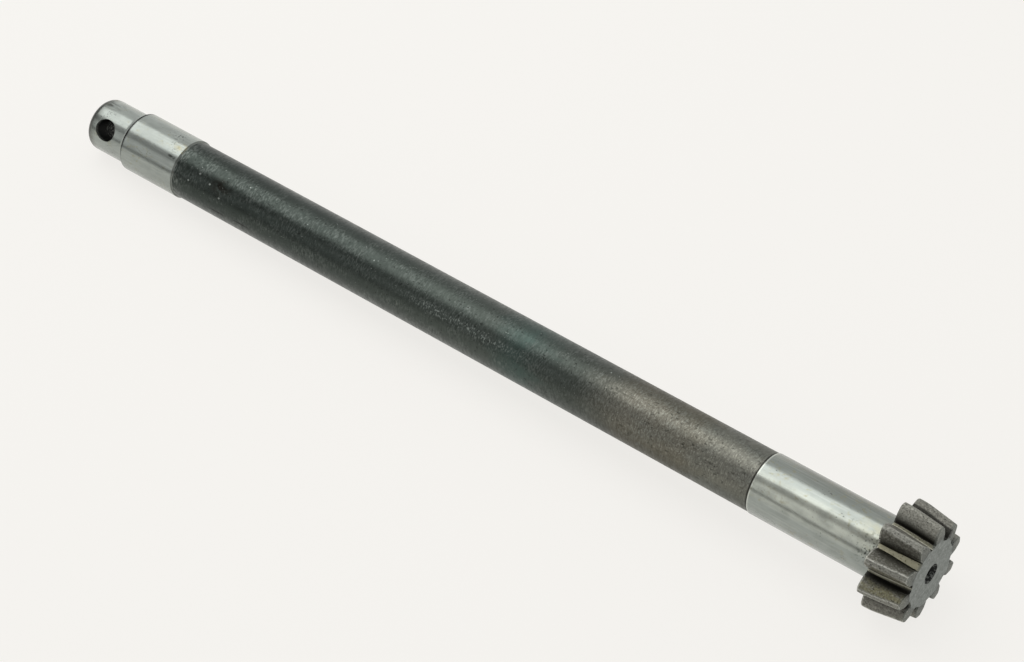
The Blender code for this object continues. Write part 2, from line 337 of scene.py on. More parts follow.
def half_pitch(sizes, form_station, tip_radius):
    """Half a tooth space and half a tooth, as points from the space's middle to the tooth's middle."""
    drop = crown_drop(sizes, form_station)
    shift = PROFILE_SHIFT * sizes.module - drop
    pitch_radius = sizes.module * sizes.tooth_count / 2.0
    base_radius = pitch_radius * math.cos(PRESSURE_ANGLE)
    root_radius = pitch_radius + (TIP_HEIGHT - TOOTH_DEPTH) * sizes.module - drop
    fillet = ROOT_FILLET * sizes.module
    centre_radius = root_radius + fillet
    edge_radius = max(base_radius, math.sqrt(centre_radius ** 2 - fillet ** 2))
    edge_angle = space_half_angle(sizes, edge_radius, shift)
    centre_angle = edge_angle - math.asin(fillet / centre_radius)
    centre = on_circle(centre_radius, centre_angle)
    points = [on_circle(root_radius, centre_angle * step / ROOT_STEPS) for step in range(ROOT_STEPS)]
    for step in range(FILLET_STEPS + 1):
        turn = math.pi + centre_angle - (math.pi / 2.0 - edge_angle + centre_angle) * step / FILLET_STEPS
        points.append(centre + on_circle(fillet, turn))
    edge = min(sizes.tooth_edge, EDGE_SHARE * (tip_radius - points[-1].length))
    flank_start = points[-1].length
    flank_end = tip_radius - edge
    for step in range(1, FLANK_STEPS + 1):
        radius = flank_start + (flank_end - flank_start) * step / FLANK_STEPS
        points.append(on_circle(radius, space_half_angle(sizes, max(radius, base_radius), shift)))
    corner = on_circle(tip_radius, space_half_angle(sizes, max(tip_radius, base_radius), shift))
    land_angle = math.atan2(corner.y, corner.x) + edge / tip_radius
    land = on_circle(tip_radius, land_angle)
    flank = points[-1]
    for step in range(1, EDGE_STEPS + 1):
        share = step / EDGE_STEPS
        points.append((1.0 - share) ** 2 * flank + 2.0 * share * (1.0 - share) * corner + share ** 2 * land)
    tooth_middle = math.pi / sizes.tooth_count
    for step in range(1, TIP_STEPS + 1):
        points.append(on_circle(tip_radius, land_angle + (tooth_middle - land_angle) * step / TIP_STEPS))
    return points


def toothed_ring(sizes, station, tip_radius):
    """The toothed outline at a station, as points all the way round."""
    half = half_pitch(sizes, station, tip_radius)
    mirrored = [Vector((point.x, -point.y)) for point in reversed(half[1:])]
    pitch = (mirrored + half)[:-1]
    ring = []
    for tooth in range(sizes.tooth_count):
        turn = Matrix.Rotation(math.tau * tooth / sizes.tooth_count, 2)
        ring += [(turn @ point).to_3d() + Vector((0.0, 0.0, station)) for point in pitch]
    return ring


def round_ring(radius, station, count):
    """A circle at a station, as points."""
    angles = [math.tau * step / count for step in range(count)]
    return [Vector((radius * math.cos(angle), radius * math.sin(angle), station)) for angle in angles]


def corner_arc(radius, station, corner_radius, turn_from, turn_to, steps):
    """Outline points (radius, station) on a rounded corner's arc."""
    angles = [turn_from + (turn_to - turn_from) * step / steps for step in range(steps + 1)]
    return [(radius + corner_radius * math.cos(a), station + corner_radius * math.sin(a)) for a in angles]


def head_outline(sizes):
    """The toothed head's outline (tip radius, station), from its rear face to its end face."""
    tip = sizes.module * (sizes.tooth_count / 2.0 + TIP_HEIGHT)
    rear = -sizes.head_length
    outline = corner_arc(
        tip - REAR_CORNER_RADIUS, rear + REAR_CORNER_RADIUS, REAR_CORNER_RADIUS,
        -math.pi / 2.0, 0.0, CORNER_STEPS)
    taper_top = rear + CROWN_PEAK_FROM_REAR + sizes.crown_radius * math.sin(CROWN_TAPER)
    for step in range(CROWN_STEPS + 1):
        angle = CROWN_TAPER * step / CROWN_STEPS
        station = rear + CROWN_PEAK_FROM_REAR + sizes.crown_radius * math.sin(angle)
        outline.append((tip - crown_drop(sizes, station), station))
    front = -TOOTH_END_RELIEF
    corner = Vector((tip - crown_drop(sizes, front), front))
    back = (Vector((tip - crown_drop(sizes, taper_top), taper_top)) - corner).normalized()
    face = Vector((END_FACE_RADIUS * sizes.module, 0.0))
    ahead = (face - corner).normalized()
    half_angle = back.angle(ahead) / 2.0
    reach = FRONT_CORNER_RADIUS / math.tan(half_angle)
    start = corner + back * reach
    finish = corner + ahead * reach
    for step in range(CORNER_STEPS + 1):
        share = step / CORNER_STEPS
        outline.append(tuple(
            (1 - share) ** 2 * start + 2 * share * (1 - share) * corner + share ** 2 * finish))
    outline.append(tuple(finish.lerp(face, 0.5)))
    outline.append(tuple(face))
    return outline


def shaft_outline(sizes):
    """The outline (radius, station) behind the head, from its neck to the spigot's end face."""
    rear = -sizes.head_length
    journal_rear = rear - sizes.front_journal_length
    bar_rear = journal_rear - sizes.bar_length
    rim = bar_rear - sizes.rear_journal_length
    spigot_start = rim - SHOULDER_CHAMFER_LENGTH
    end = spigot_start - sizes.spigot_length
    outline = corner_arc(
        sizes.front_journal_radius + HEAD_NECK_FILLET, rear - HEAD_NECK_FILLET, HEAD_NECK_FILLET,
        math.pi / 2.0, math.pi, CORNER_STEPS)
    outline += [
        (sizes.front_journal_radius, journal_rear + STEP_CHAMFER_LENGTH),
        (sizes.bar_radius, journal_rear),
        (sizes.bar_radius, bar_rear),
        (sizes.rear_journal_radius, bar_rear - STEP_CHAMFER_LENGTH),
        (sizes.rear_journal_radius, rim),
    ]
    step = sizes.rear_journal_radius - sizes.spigot_radius
    hollow = (step ** 2 + SHOULDER_CHAMFER_LENGTH ** 2) / (2.0 * step)
    outline += corner_arc(
        sizes.spigot_radius + hollow, spigot_start, hollow,
        math.acos((step - hollow) / hollow), math.pi, CORNER_STEPS)[1:]
    outline += corner_arc(
        sizes.spigot_radius - SPIGOT_END_RADIUS, end + SPIGOT_END_RADIUS, SPIGOT_END_RADIUS,
        0.0, -math.pi / 2.0, CORNER_STEPS)
    return outline


def centre_outline(mouth_radius, pilot_radius, pilot_length, face, inward):
    """The outline of a lathe centre hole, from its mouth on an end face down to its point."""
    cone = (mouth_radius - pilot_radius) / math.tan(CENTRE_CONE_HALF_ANGLE)
    point = cone + pilot_length + pilot_radius / math.tan(CENTRE_DRILL_HALF_ANGLE)
    return [
        (mouth_radius, face),
        (pilot_radius, face + inward * cone),
        (pilot_radius, face + inward * (cone + pilot_length)),
        (0.0, face + inward * point),
    ]


def start_ring(points):
    """Add a closed ring in edit mode, laid through the points, and return its vertices in order."""
    bpy.ops.mesh.select_all(action="DESELECT")
    bpy.ops.mesh.primitive_circle_add(vertices=len(points), radius=1.0)
    shape = bmesh.from_edit_mesh(bpy.context.object.data)
    found = [vertex for vertex in shape.verts if vertex.select]
    ring = [found[0]]
    while len(ring) < len(found):
        near = [edge.other_vert(ring[-1]) for edge in ring[-1].link_edges]
        ring.append(next(vertex for vertex in near if vertex not in ring[-2:] and vertex is not ring[0]))
    for vertex, point in zip(ring, points):
        vertex.co = point
    return [vertex.index for vertex in ring]


def extrude_ring(ring, points):
    """Extrude the selected ring and lay the new one through the points."""
    bpy.ops.mesh.extrude_edges_move()
    shape = bmesh.from_edit_mesh(bpy.context.object.data)
    shape.verts.ensure_lookup_table()
    shape.verts.index_update()
    made = []
    for index, point in zip(ring, points):
        old = shape.verts[index]
        new = next(edge.other_vert(old) for edge in old.link_edges if edge.other_vert(old).select)
        new.co = point
        made.append(new)
    return [vertex.index for vertex in made]


def loft(rings):
    """Draw a skin through rings of equal count, and return the first and last ring's vertices."""
    first = start_ring(rings[0])
    last = first
    for points in rings[1:]:
        last = extrude_ring(last, points)
    return first, last


def select_rings(*rings):
    """Select only the edges of the given rings."""
    bpy.ops.mesh.select_all(action="DESELECT")
    shape = bmesh.from_edit_mesh(bpy.context.object.data)
    shape.verts.ensure_lookup_table()
    for ring in rings:
        for index, after in zip(ring, ring[1:] + ring[:1]):
            shape.edges.get((shape.verts[index], shape.verts[after])).select_set(True)
    bmesh.update_edit_mesh(bpy.context.object.data)


def model_shaft(sizes):
    """Model the whole shaft upright about its own Z axis, as one closed skin."""
    bpy.ops.object.select_all(action="DESELECT")
    bpy.ops.mesh.primitive_circle_add(vertices=3, radius=1.0)
    shaft = bpy.context.object
    shaft.name = "shaft"
    bpy.ops.object.mode_set(mode="EDIT")
    bpy.ops.mesh.delete(type="VERT")
    outline = shaft_outline(sizes)
    end = outline[-1][1]
    pitch_count = 2 * (ROOT_STEPS + FILLET_STEPS + FLANK_STEPS + EDGE_STEPS + TIP_STEPS)
    around = pitch_count * sizes.tooth_count
    head = loft([toothed_ring(sizes, station, radius) for radius, station in head_outline(sizes)])
    body = loft([round_ring(radius, station, around) for radius, station in outline])
    head_centre = loft([round_ring(radius, station, CENTRE_STEPS) for radius, station in centre_outline(
        HEAD_CENTRE_RADIUS, HEAD_PILOT_RADIUS, HEAD_PILOT_LENGTH, 0.0, -1.0)])
    spigot_centre = loft([round_ring(radius, station, CENTRE_STEPS) for radius, station in centre_outline(
        SPIGOT_CENTRE_RADIUS, SPIGOT_PILOT_RADIUS, SPIGOT_PILOT_LENGTH, end, 1.0)])
    for one, other in ((head[1], head_centre[0]), (head[0], body[0]), (body[1], spigot_centre[0])):
        select_rings(one, other)
        bpy.ops.mesh.fill(use_beauty=True)
    bpy.ops.mesh.select_all(action="SELECT")
    bpy.ops.mesh.remove_doubles(threshold=MERGE_DISTANCE)
    bpy.ops.mesh.normals_make_consistent(inside=False)
    bpy.ops.object.mode_set(mode="OBJECT")
    return shaft


def drill_cross_hole(shaft, sizes):
    """Cut the cross hole through the spigot, worn a little long by its pin."""
    end = shaft_outline(sizes)[-1][1]
    bpy.ops.mesh.primitive_cylinder_add(
        vertices=HOLE_STEPS, radius=sizes.cross_hole_radius, depth=DRILL_REACH * sizes.spigot_radius)
    drill = bpy.context.object
    across = Matrix.Rotation(CROSS_HOLE_TURN, 4, "Z") @ Matrix.Rotation(math.pi / 2.0, 4, "Y")
    worn = Matrix.Diagonal((1.0, 1.0, CROSS_HOLE_WEAR, 1.0))
    drill.matrix_world = Matrix.Translation((0.0, 0.0, end + CROSS_HOLE_FROM_END)) @ worn @ across
    bpy.context.view_layer.update()
    cut = shaft.modifiers.new("Cross hole", "BOOLEAN")
    cut.operation = "DIFFERENCE"
    cut.solver = "EXACT"
    cut.object = drill
    bpy.context.view_layer.objects.active = shaft
    bpy.ops.object.modifier_apply(modifier=cut.name)
    bpy.data.objects.remove(drill, do_unlink=True)


def mark_wear(shaft, sizes):
    """Store what the wear follows: how sharply the surface turns outwards, and the depth in the teeth."""
    upright = shaft_placement().inverted()
    tip = sizes.module * (sizes.tooth_count / 2.0 + TIP_HEIGHT)
    shape = bmesh.new()
    shape.from_mesh(shaft.data)
    edge = shape.verts.layers.float.new("worn_edge")
    depth = shape.verts.layers.float.new("tooth_depth")
    for vertex in shape.verts:
        turns = [link.calc_face_angle_signed(0.0) for link in vertex.link_edges]
        vertex[edge] = min(max(turns) / EDGE_TURN, 1.0)
        point = upright @ vertex.co
        fallen = tip - crown_drop(sizes, point.z) - point.xy.length
        vertex[depth] = min(max(fallen / (TOOTH_DEPTH * sizes.module), 0.0), 1.0)
    shape.to_mesh(shaft.data)
    shape.free()


def finish_of(sizes, point):
    """Which finish the shaft has at a point of its own frame."""
    radius = point.xy.length
    end = shaft_outline(sizes)[-1][1]
    hole = Vector((math.sin(CROSS_HOLE_TURN), -math.cos(CROSS_HOLE_TURN)))
    hole_reach = math.hypot(point.xy.dot(hole), (point.z - end - CROSS_HOLE_FROM_END) / CROSS_HOLE_WEAR)
    journal_rear = -sizes.head_length - sizes.front_journal_length
    if hole_reach < sizes.cross_hole_radius + BORE_BORDER and radius < sizes.spigot_radius - BORE_BORDER:
        return "bore"
    if radius < (HEAD_CENTRE_RADIUS if point.z > -sizes.head_length else SPIGOT_CENTRE_RADIUS):
        return "bore"
    if point.z > -FACE_BORDER and radius < END_FACE_RADIUS * sizes.module:
        return "faced"
    if point.z > -sizes.head_length - REAR_BORDER:
        return "oxide"
    if journal_rear - sizes.bar_length < point.z < journal_rear + STEP_CHAMFER_LENGTH:
        return "scale"
    return "ground"


def node(tree, kind, inputs=None, stops=(), **settings):
    """Add a node with its settings; an input is a value or the socket that feeds it."""
    made = tree.nodes.new(kind)
    for name, value in settings.items():
        setattr(made, name, value)
    for position, _ in stops[1:-1]:
        made.color_ramp.elements.new(position)
    for index, (_, colour) in enumerate(stops):
        made.color_ramp.elements[index].color = colour
    for key, value in (inputs or {}).items():
        if isinstance(value, bpy.types.NodeSocket):
            tree.links.new(value, made.inputs[key])
        else:
            made.inputs[key].default_value = value
    return made


def shaft_place(tree):
    """The shaft's own place in millimetres: X down, Y across, Z along it from the head's end face."""
    lying = shaft_placement()
    place = node(tree, "ShaderNodeTexCoord").outputs["Object"]
    return node(tree, "ShaderNodeMapping", {
        "Vector": place, "Location": lying.translation, "Rotation": lying.to_euler(),
        "Scale": (MM, MM, MM)}, vector_type="TEXTURE").outputs[0]


def grain(tree, place, across, along, low, high, detail=2.0):
    """Noise, 0 to 1 between two levels, with a grain in millimetres across and along the shaft."""
    spread = node(tree, "ShaderNodeMapping", {
        "Vector": place, "Scale": (1.0 / across, 1.0 / across, 1.0 / along)}).outputs[0]
    noise = node(tree, "ShaderNodeTexNoise", {"Vector": spread, "Scale": 1.0, "Detail": detail}).outputs[0]
    return node(tree, "ShaderNodeMapRange", {0: noise, 1: low, 2: high}).outputs[0]


def patch(tree, place, station, turn, radius, around, along, soft=0.7):
    """A patch on the shaft: 1 in its middle, 0 past its reach round and along the shaft in millimetres."""
    middle = on_circle(radius, math.radians(turn)).to_3d() + Vector((0.0, 0.0, station))
    spread = Vector((1.0 / around, 1.0 / around, 1.0 / along))
    centred = node(tree, "ShaderNodeMapping", {
        "Vector": place, "Location": -middle * spread, "Scale": spread}).outputs[0]
    reach = node(tree, "ShaderNodeVectorMath", {0: centred}, operation="LENGTH").outputs["Value"]
    return node(tree, "ShaderNodeMapRange", {0: reach, 1: 1.0, 2: 1.0 - soft}).outputs[0]


def turn_round(tree, place):
    """The turn round the shaft's axis, from 0 to 360 degrees."""
    opposite = node(tree, "ShaderNodeVectorMath", {
        0: place, 1: (-1.0, -1.0, -1.0)}, operation="MULTIPLY").outputs[0]
    split = node(tree, "ShaderNodeSeparateXYZ", {0: opposite})
    turn = node(tree, "ShaderNodeMath", {
        0: split.outputs[1], 1: split.outputs[0]}, operation="ARCTAN2").outputs[0]
    return node(tree, "ShaderNodeMapRange", {0: turn, 1: -math.pi, 2: math.pi, 3: 0.0, 4: 360.0}).outputs[0]


def off_axis(tree, place):
    """The distance from the shaft's axis, in millimetres."""
    split = node(tree, "ShaderNodeSeparateXYZ", {0: place})
    across = node(tree, "ShaderNodeCombineXYZ", {0: split.outputs[0], 1: split.outputs[1]}).outputs[0]
    return node(tree, "ShaderNodeVectorMath", {0: across}, operation="LENGTH").outputs["Value"]


def belt(tree, measure, middle, reach):
    """A belt of a station or a turn: 1 in its middle half, 0 past its reach to either side."""
    off = node(tree, "ShaderNodeMath", {0: measure, 1: middle}, operation="SUBTRACT").outputs[0]
    off = node(tree, "ShaderNodeMath", {0: off}, operation="ABSOLUTE").outputs[0]
    return node(tree, "ShaderNodeMapRange", {0: off, 1: reach, 2: 0.5 * reach}).outputs[0]


def together(tree, *shares):
    """Where patterns meet: their shares multiplied."""
    share = shares[0]
    for other in shares[1:]:
        share = node(tree, "ShaderNodeMath", {0: share, 1: other}, operation="MULTIPLY").outputs[0]
    return share


def layered(tree, colour, layers):
    """A colour with others laid over it in turn, each by its share."""
    if not isinstance(colour, bpy.types.NodeSocket):
        colour = (*colour, 1.0)
    for share, over in layers:
        colour = node(tree, "ShaderNodeMix", {
            0: share, 6: colour, 7: (*linear(over), 1.0)}, data_type="RGBA").outputs[2]
    return colour


def steel(tree, colour, roughness, bumps, metallic=1.0, **constants):
    """Finish a steel: its colour, its roughness, and bumps as pairs of pattern and height."""
    normal = None
    for pattern, height in bumps:
        inputs = {"Height": pattern, "Distance": height, "Strength": 1.0}
        if normal is not None:
            inputs["Normal"] = normal
        normal = node(tree, "ShaderNodeBump", inputs).outputs[0]
    inputs = {"Base Color": colour, "Roughness": roughness, "Metallic": metallic, "Normal": normal}
    inputs.update(constants)
    surface = node(tree, "ShaderNodeBsdfPrincipled", inputs)
    node(tree, "ShaderNodeOutputMaterial", {"Surface": surface.outputs[0]})


def start_material(name):
    """An empty material, and its place pattern."""
    material = bpy.data.materials.new(name)
    material.use_nodes = True
    material.node_tree.nodes.clear()
    return material.node_tree, shaft_place(material.node_tree)


def ground_steel(finish):
    """Cylindrically ground medium carbon steel: bright, with a fine lay round the shaft.

    It mirrors softly and is partly matt from its lay, so the gaps between the lamps lie along it as
    thin grey lines. Handling has left grey clouds, faint lengthwise rubs, rust freckles, dark pits and
    a warm stain beside the head. Painted shade darkens the shoulder, the rounded end, the steps and
    the top of the front journal, and painted highlights lie along its middle and on the front step.
    """
    tree, place = start_material("ground_steel")
    # Grinding lines are some 0.05 mm apart; here they are 0.35 mm so that they show close up
    lay = grain(tree, place, 40.0, 0.35, 0.4, 0.6, 1.0)
    clouds = grain(tree, place, 5.0, 9.0, 0.42, 0.72, 3.0)
    rubs = grain(tree, place, 1.0, 26.0, 0.5, 0.72)
    pits = together(
        tree, grain(tree, place, 0.9, 1.0, 0.66, 0.72), grain(tree, place, 9.0, 12.0, 0.47, 0.6))
    rust = together(
        tree, grain(tree, place, 2.0, 2.4, 0.56, 0.7), grain(tree, place, 14.0, 14.0, 0.48, 0.6))
    stain = together(tree, grain(tree, place, 2.5, 3.5, 0.35, 0.6), patch(
        tree, place, *REAR_STAIN, around=4.0, along=6.0))
    warm = together(tree, grain(tree, place, 3.0, 4.0, 0.3, 0.6, 3.0), patch(
        tree, place, *FRONT_STAIN, around=11.0, along=13.0))
    smears = together(tree, grain(tree, place, 2.0, 6.0, 0.45, 0.62), patch(
        tree, place, *SPIGOT_SMEAR, around=7.0, along=9.0))
    shoulder_shade = patch(tree, place, *SHOULDER_SHADE, around=27.0, along=1.5, soft=0.4)
    station = node(tree, "ShaderNodeSeparateXYZ", {0: place}).outputs[2]
    # The spigot's rounded end darkens towards its tip, most at its brim: painted shade
    tip = node(tree, "ShaderNodeMapRange", {0: station, 1: -566.5, 2: -572.0}).outputs[0]
    end_shade = together(tree, belt(tree, station, *SPIGOT_END_SHADE), node(
        tree, "ShaderNodeMapRange", {0: station, 1: -574.98, 2: -574.8}).outputs[0])
    dots = grain(tree, place, 1.2, 1.3, 0.56, 0.64)
    top_shade = patch(tree, place, *FRONT_TOP_SHADE, around=15.0, along=90.0)
    # A lighter band along the front journal's near middle: painted highlight
    rub_and_highlight = patch(tree, place, *FRONT_HIGHLIGHT, around=8.5, along=90.0)
    colour = layered(tree, finish.ground, [
        # Painted shade on the front journal's upper side
        (together(tree, top_shade, 0.9), "#676b63"),
        (together(tree, rub_and_highlight, 0.9), "#ccd0c2"),
        (together(tree, clouds, 0.5), "#828781"),
        (together(tree, rubs, 0.2), "#c6cbc3"),
        # Painted shade at the rear step, and a painted highlight on the front step's chamfer
        (together(tree, belt(tree, station, *REAR_STEP_SHADE), 0.6), "#3c3f3a"),
        (together(tree, belt(tree, station, *FRONT_STEP_GLEAM), 0.6), "#d6d9cf"),
        (together(tree, rust, 0.45), "#8d8763"),
        (together(tree, stain, 0.55), "#a09871"),
        (together(tree, warm, 0.45), "#a6a387"),
        # Painted shade on the rounded end
        (together(tree, tip, grain(tree, place, 1.5, 1.5, -0.1, 0.5, 4.0), 0.85), "#4b4d47"),
        (together(tree, end_shade, 0.8), "#1f211d"),
        (together(tree, patch(tree, place, *REAR_MARK, around=0.9, along=2.4, soft=0.6), 0.8), "#24251f"),
        (together(tree, smears, 0.85), "#454741"),
        # Painted shade at the shoulder
        (together(tree, shoulder_shade, 0.95), "#141513"),
        (together(tree, pits, 0.8), "#2b2d29"),
    ])
    colour = layered(tree, colour, [
        (together(
            tree, dots, patch(tree, place, *middle, around=around, along=along, soft=0.6), 0.8), "#33342f")
        for middle, around, along in SPECKS])
    roughness = node(tree, "ShaderNodeMapRange", {0: lay, 3: 0.18, 4: 0.23}).outputs[0]
    steel(
        tree, colour, roughness,
        [(lay, 0.0004 * MM), (clouds, 0.01 * MM), (pits, -0.05 * MM)], metallic=0.62)


def scaled_steel(finish):
    """Hot-rolled steel under black heat scale: nearly black, half dull, with pale glints on its marks.

    Turning marks run round it. Towards the head the scale has blued and browned where it was
    heated, and is worn thin and grey up to the front journal; on the side facing the camera that grey is
    partly a painted highlight.
    """
    tree, place = start_material("scaled_steel")
    # Turning marks are some 0.3 mm apart; here they are 1.5 mm so that they show
    marks = grain(tree, place, 5.0, 1.5, 0.32, 0.68, 3.0)
    strokes = grain(tree, place, 2.2, 0.8, 0.44, 0.68, 3.0)
    clouds = grain(tree, place, 9.0, 20.0, 0.35, 0.7, 3.0)
    flecks = together(tree, grain(tree, place, 1.5, 0.9, 0.54, 0.64), patch(
        tree, place, *FLECK_ROW, around=4.0, along=56.0))
    brown = together(tree, grain(tree, place, 2.0, 4.0, 0.36, 0.56), patch(
        tree, place, *BROWN_PATCH, around=6.0, along=10.0))
    glints = together(
        tree, grain(tree, place, 1.1, 1.1, 0.7, 0.76), grain(tree, place, 9.0, 22.0, 0.45, 0.6))
    pits = grain(tree, place, 1.6, 1.8, 0.62, 0.72)
    station = node(tree, "ShaderNodeSeparateXYZ", {0: place}).outputs[2]
    wander = node(tree, "ShaderNodeMath", {
        0: clouds, 1: TONE_WANDER, 2: station}, operation="MULTIPLY_ADD").outputs[0]
    first, last = BAR_TONES[0][0], BAR_TONES[-1][0]
    along = node(tree, "ShaderNodeMapRange", {
        0: wander, 1: first + TONE_WANDER / 2.0, 2: last + TONE_WANDER / 2.0}).outputs[0]
    tones = node(tree, "ShaderNodeValToRGB", {0: along}, stops=[
        ((at - first) / (last - first), (*linear(tone), rough)) for at, tone, rough in BAR_TONES])
    worn = node(tree, "ShaderNodeMapRange", {0: station, 1: -215.0, 2: -180.0}).outputs[0]
    rubbed_and_lit = together(tree, worn, patch(tree, place, *BAR_RUB_AND_HIGHLIGHT, around=17.0, along=200.0, soft=0.6))
    sparks = together(tree, rubbed_and_lit, grain(tree, place, 1.2, 0.8, 0.56, 0.66, 3.0))
    scars = together(
        tree, worn, grain(tree, place, 1.4, 5.0, 0.58, 0.66), grain(tree, place, 9.0, 9.0, 0.45, 0.6))
    rear = node(tree, "ShaderNodeMapRange", {0: station, 1: -496.0, 2: -503.4}).outputs[0]
    tinted = node(
        tree, "ShaderNodeMix", {0: 1.0, 6: tones.outputs[0], 7: (*finish.scale, 1.0)},
        data_type="RGBA", blend_type="MULTIPLY").outputs[2]
    colour = layered(tree, tinted, [
        (together(tree, clouds, 0.35), "#343a36"),
        # Worn grey scale with pale strokes and sparks, lighter on the camera side: partly wear, partly
        # painted highlight
        (together(tree, rubbed_and_lit, 0.42), "#85837a"),
        (together(tree, strokes, rubbed_and_lit, 0.45), "#9a998c"),
        (together(tree, sparks, 0.4), "#b3b3a8"),
        (together(tree, scars, 0.5), "#36352e"),
        (together(tree, rear, strokes, 0.5), "#8b908b"),
        (together(tree, strokes, clouds, 0.42), "#868c87"),
        (together(tree, brown, 0.7), "#26211b"),
        (together(tree, pits, 0.55), "#1d1f1c"),
        # A line of painted shade on the bar's side of the front step
        (together(tree, belt(tree, station, *FRONT_STEP_SHADE), 0.8), "#191916"),
        (together(tree, flecks, 0.75), "#9aa19b"),
        (together(tree, glints, 0.8), "#b4bab4"),
    ])
    colour = layered(tree, colour, [
        (together(tree, patch(tree, place, *chip, around=0.75, along=0.85), 0.85), "#b2b8b2")
        for chip in BAR_CHIPS])
    colour = layered(tree, colour, [
        (together(tree, patch(tree, place, *scratch, around=0.8, along=8.0, soft=0.6), 0.9), "#10110e")
        for scratch in BAR_SCRATCHES])
    roughness = node(tree, "ShaderNodeMath", {
        0: marks, 1: 0.14, 2: tones.outputs[1]}, operation="MULTIPLY_ADD").outputs[0]
    steel(tree, colour, roughness, [(marks, 0.02 * MM), (pits, -0.04 * MM)])


def oxidised_teeth(finish):
    """Cut and hardened teeth with a dull grey oxide: matt, finely pitted, browned by old grease.

    The edges are worn to pale bare steel in thin broken lines. The lower flanks and the creases beside
    the roots are darkened to near black, partly old deposits and partly painted shade, dark lines run along
    some flanks, and the ends keep the grey of the faced end.
    """
    tree, place = start_material("oxidised_teeth")
    edge = node(tree, "ShaderNodeAttribute", attribute_name="worn_edge").outputs["Fac"]
    depth = node(tree, "ShaderNodeAttribute", attribute_name="tooth_depth").outputs["Fac"]
    station = node(tree, "ShaderNodeSeparateXYZ", {0: place}).outputs[2]
    worn = node(tree, "ShaderNodeMapRange", {0: edge, 1: 0.9, 2: 1.0}).outputs[0]
    flank = node(tree, "ShaderNodeMapRange", {0: depth, 1: 0.04, 2: 0.12}).outputs[0]
    low = node(tree, "ShaderNodeMapRange", {0: depth, 1: 0.34, 2: 0.8}).outputs[0]
    crease = node(tree, "ShaderNodeMapRange", {0: depth, 1: 0.66, 2: 0.88}).outputs[0]
    ahead = node(tree, "ShaderNodeMapRange", {0: station, 1: -24.08, 2: -23.9}).outputs[0]
    bottom = together(tree, ahead, node(
        tree, "ShaderNodeMapRange", {0: depth, 1: 0.98, 2: 0.998}).outputs[0])
    off_bottom = node(tree, "ShaderNodeMath", {0: 1.0, 1: bottom}, operation="SUBTRACT").outputs[0]
    front = node(tree, "ShaderNodeMapRange", {0: station, 1: -1.6, 2: -0.7}).outputs[0]
    turn = turn_round(tree, place)
    ending = node(tree, "ShaderNodeMapRange", {0: station, 1: -23.2, 2: -23.6}).outputs[0]
    worn = node(tree, "ShaderNodeMath", {
        0: worn, 1: together(tree, ending, ahead)}, operation="MAXIMUM").outputs[0]
    dulled = patch(tree, place, *DULL_EDGE, around=1.9, along=60.0, soft=0.4)
    sharp = node(tree, "ShaderNodeMath", {0: 1.0, 1: dulled}, operation="SUBTRACT").outputs[0]
    rub_and_highlight = together(tree, worn, sharp, grain(tree, place, 1.0, 4.0, 0.4, 0.5), patch(
        tree, place, *EDGE_RUB, around=36.0, along=60.0, soft=0.4))
    line = together(tree, belt(tree, turn, *FAR_FLANK), node(
        tree, "ShaderNodeMapRange", {0: depth, 1: 0.33, 2: 0.42}).outputs[0])
    # Partly deposits, partly painted shade on the flanks
    soot_and_shade = together(tree, flank, belt(tree, turn, *FLANK_SOOT_AND_SHADE))
    skin = grain(tree, place, 0.8, 0.9, 0.38, 0.62, 4.0)
    shine = grain(tree, place, 0.9, 1.1, 0.5, 0.66, 3.0)
    clouds = grain(tree, place, 4.0, 6.0, 0.4, 0.66, 3.0)
    grease = together(tree, grain(tree, place, 4.0, 9.0, 0.38, 0.56), patch(
        tree, place, *FLANK_GREASE, around=15.0, along=40.0))
    pits = grain(tree, place, 1.0, 1.1, 0.62, 0.68)
    colour = layered(tree, finish.oxide, [
        (together(tree, clouds, 0.35), "#8f8f86"),
        (together(tree, flank, 0.7), "#74726a"),
        (together(tree, flank, grease, 0.7), "#8b8763"),
        # Painted light on the second tooth's flank
        (together(tree, patch(tree, place, *LIT_FLANK_PATCH, around=11.0, along=40.0), 0.75), "#a3a297"),
        (together(tree, soot_and_shade, off_bottom, 0.6), "#3a382c"),
        (together(tree, skin, 0.45), "#504f47"),
        (together(tree, shine, 0.34), "#adada3"),
        # Darker lower flanks and near-black creases: partly deposits, partly painted shade
        (together(tree, low, off_bottom, 0.84), "#201e15"),
        (together(tree, crease, off_bottom, 0.95), "#14120b"),
        (together(tree, bottom, 0.9), "#7e7c69"),
        # Painted light on the root lands facing the camera
        (together(tree, bottom, patch(tree, place, *LIT_ROOT_PATCH, around=13.0, along=60.0), 0.9), "#b4b096"),
        (together(tree, front, 0.7), "#747872"),
        (together(tree, rub_and_highlight, 0.6), "#d0d0c6"),
        (together(tree, line, 0.9), "#1c1b14"),
        (together(tree, pits, 0.7), "#24231f"),
    ])
    # Dark lines along the teeth: partly deposits, partly painted shadow
    colour = layered(tree, colour, [
        (together(tree, belt(tree, turn, *dark_line), low, 0.9), "#1c1b14") for dark_line in DIRT_AND_SHADOW_LINES])
    colour = layered(tree, colour, [
        (together(tree, belt(tree, turn, *pale), low, 0.85), "#b0af9f") for pale in PALE_LINES])
    colour = layered(tree, colour, [
        (together(tree, patch(tree, place, *chip, around=0.6, along=0.9), 0.9), "#1f1e18")
        for chip in TOOTH_CHIPS])
    roughness = node(tree, "ShaderNodeMapRange", {0: skin, 3: 0.42, 4: 0.66}).outputs[0]
    steel(tree, colour, roughness, [(skin, 0.05 * MM), (pits, -0.08 * MM)], metallic=0.6)


